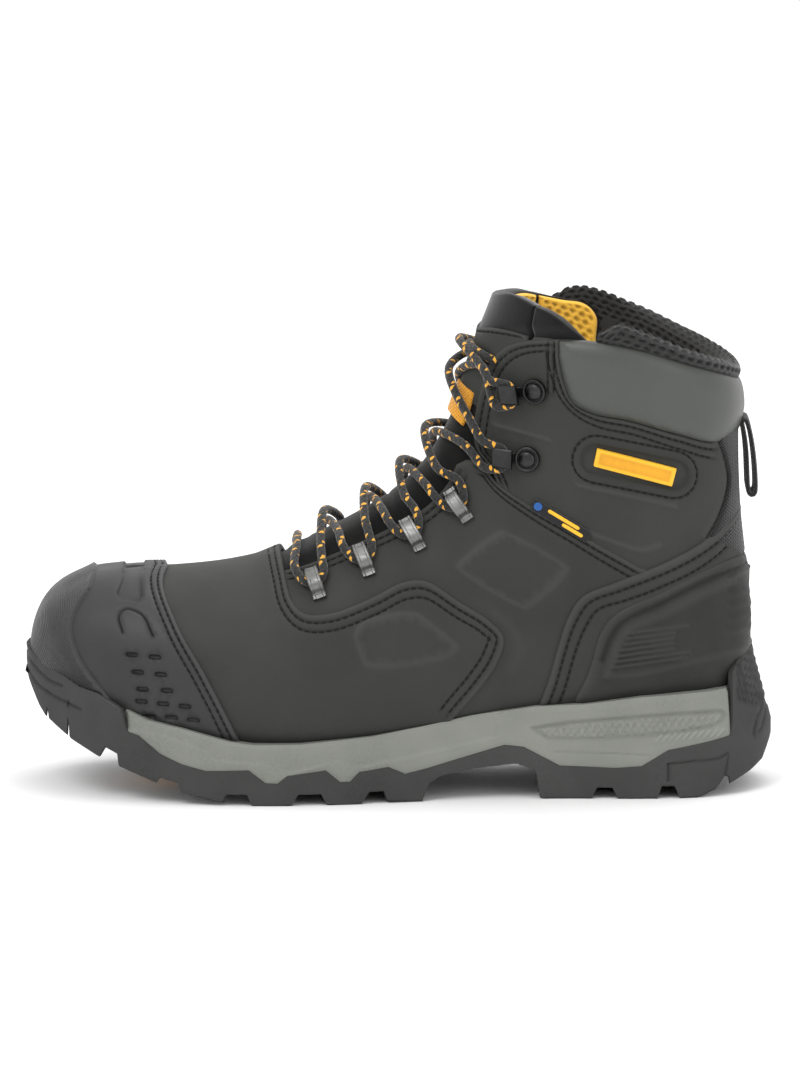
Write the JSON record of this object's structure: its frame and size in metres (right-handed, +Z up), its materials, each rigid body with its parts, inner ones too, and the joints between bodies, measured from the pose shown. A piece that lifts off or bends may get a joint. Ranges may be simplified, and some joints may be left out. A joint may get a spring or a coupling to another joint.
{
  "type": "steel toe work boot",
  "caption": "Ankle-high laced leather safety boot for the left foot, with a hidden steel toe cap, lugged rubber sole, hinged tongue top and heel pull loop.",
  "frame": {"origin": "centre of the bounding box's base, on the ground under the middle of the boot", "axes": "+X from toe to heel, -Y the outer (lateral) side of the left foot, +Z up"},
  "size_m": [0.312, 0.1121, 0.2081],
  "materials": {
    "nubuck_leather": "fine nubuck, dark grey",
    "collar_leather": "smooth, soft, mid grey",
    "back_webbing": "woven strip",
    "toe_rubber": "matt with fine ribs",
    "moulded_overlay": "moulded, fine leather grain",
    "side_plate": "plain yellow",
    "side_tag": "plain woven tag",
    "mesh_lining": "spacer mesh",
    "tongue_cloth": "padded mesh and suede",
    "keeper_webbing": "yellow webbing",
    "pull_webbing": "black webbing",
    "toe_cap_steel": "pressed steel, satin",
    "shank_steel": "spring steel",
    "stiffener_board": "fibre sheet",
    "insole_board": "pressed fibre board",
    "footbed_foam": "cloth-faced foam",
    "outsole_rubber": "matt, fine stipple",
    "midsole_foam": "grey moulded foam, matt",
    "tread_rubber": "orange, matt",
    "gunmetal": "gunmetal plated steel",
    "lace_cord": "round braid, black with yellow flecks",
    "lace_tip": "shrunk tube"
  },
  "bodies": {
    "boot": {"ankle_panel_lateral": "nubuck_leather", "ankle_panel_medial": "nubuck_leather", "back_strip": "back_webbing", "collar_pad": "collar_leather", "collar_roll": "mesh_lining", "footbed": "footbed_foam", "heel_counter": "moulded_overlay", "heel_panel": "nubuck_leather", "heel_stiffener": "stiffener_board", "hook_rivet_lateral_1": "gunmetal", "hook_rivet_lateral_2": "gunmetal", "hook_rivet_medial_1": "gunmetal", "hook_rivet_medial_2": "gunmetal", "insole_board": "insole_board", "lace": "lace_cord", "lace_hook_lateral_1": "gunmetal", "lace_hook_lateral_2": "gunmetal", "lace_hook_medial_1": "gunmetal", "lace_hook_medial_2": "gunmetal", "lace_loop_lateral_1": "gunmetal", "lace_loop_lateral_2": "gunmetal", "lace_loop_lateral_3": "gunmetal", "lace_loop_lateral_4": "gunmetal", "lace_loop_medial_1": "gunmetal", "lace_loop_medial_2": "gunmetal", "lace_loop_medial_3": "gunmetal", "lace_loop_medial_4": "gunmetal", "lace_tip_lateral": "lace_tip", "lace_tip_medial": "lace_tip", "lining": "mesh_lining", "midsole": "midsole_foam", "outsole": "outsole_rubber", "quarter_lateral": "nubuck_leather", "quarter_medial": "nubuck_leather", "shank": "shank_steel", "side_plate": "side_plate", "side_tag": "side_tag", "steel_toe_cap": "toe_cap_steel", "toe_bumper": "toe_rubber", "toe_overlay": "moulded_overlay", "tongue": "tongue_cloth", "tongue_keeper": "keeper_webbing", "tread_insert_forefoot": "tread_rubber", "tread_insert_heel": "tread_rubber", "vamp": "nubuck_leather"},
    "tongue_top": {"tongue_top": "tongue_cloth"},
    "pull_loop": {"pull_loop": "pull_webbing"}
  },
  "joints": [
    {"name": "tongue_top_hinge", "type": "hinge", "parent": "boot", "child": "tongue_top", "pos_m": [0.03537, 0, 0.18754], "axis": [0, -1, 0], "range_deg": [0, 30]},
    {"name": "pull_loop_hinge", "type": "hinge", "parent": "boot", "child": "pull_loop", "pos_m": [0.1454, 0, 0.151], "axis": [0, -1, 0], "range_deg": [0, 110]}
  ]
}
